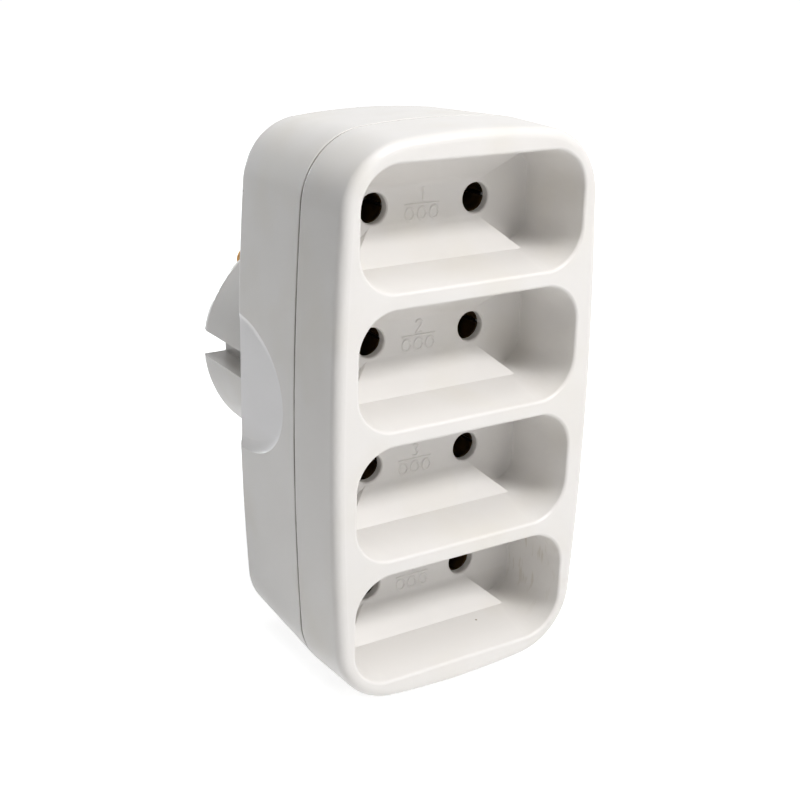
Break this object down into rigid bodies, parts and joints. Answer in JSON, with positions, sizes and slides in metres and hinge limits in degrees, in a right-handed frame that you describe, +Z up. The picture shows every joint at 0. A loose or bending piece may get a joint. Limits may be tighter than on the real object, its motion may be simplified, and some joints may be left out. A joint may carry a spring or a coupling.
{
  "type": "multi socket adapter",
  "caption": "Wall-plug socket adapter: tall moulded housing with a column of recessed pin outlets on its front and a round grooved plug with round pins on its back.",
  "frame": {"origin": "centre of the housing's back face, on the plug's axis", "axes": "+Y along the plug into the wall, +Z up along the housing's long side, sockets facing -Y"},
  "size_m": [0.0484, 0.0765, 0.0906],
  "materials": {
    "housing_plastic": "moulded, half gloss, slightly warm white",
    "brass": "bare, drawn and turned",
    "spring_steel": "bare spring wire",
    "screw_steel": "zinc plated"
  },
  "bodies": {
    "root": {"bus_strip_left": "brass", "bus_strip_right": "brass", "contact_sleeve_1_left": "brass", "contact_sleeve_1_right": "brass", "contact_sleeve_2_left": "brass", "contact_sleeve_2_right": "brass", "contact_sleeve_3_left": "brass", "contact_sleeve_3_right": "brass", "contact_sleeve_4_left": "brass", "contact_sleeve_4_right": "brass", "front_shell": "housing_plastic", "plug_pin_lower": "brass", "plug_pin_upper": "brass", "rear_shell": "housing_plastic", "shell_screws": "screw_steel", "sleeve_spring_1_left": "spring_steel", "sleeve_spring_1_right": "spring_steel", "sleeve_spring_2_left": "spring_steel", "sleeve_spring_2_right": "spring_steel", "sleeve_spring_3_left": "spring_steel", "sleeve_spring_3_right": "spring_steel", "sleeve_spring_4_left": "spring_steel", "sleeve_spring_4_right": "spring_steel"}
  },
  "joints": []
}
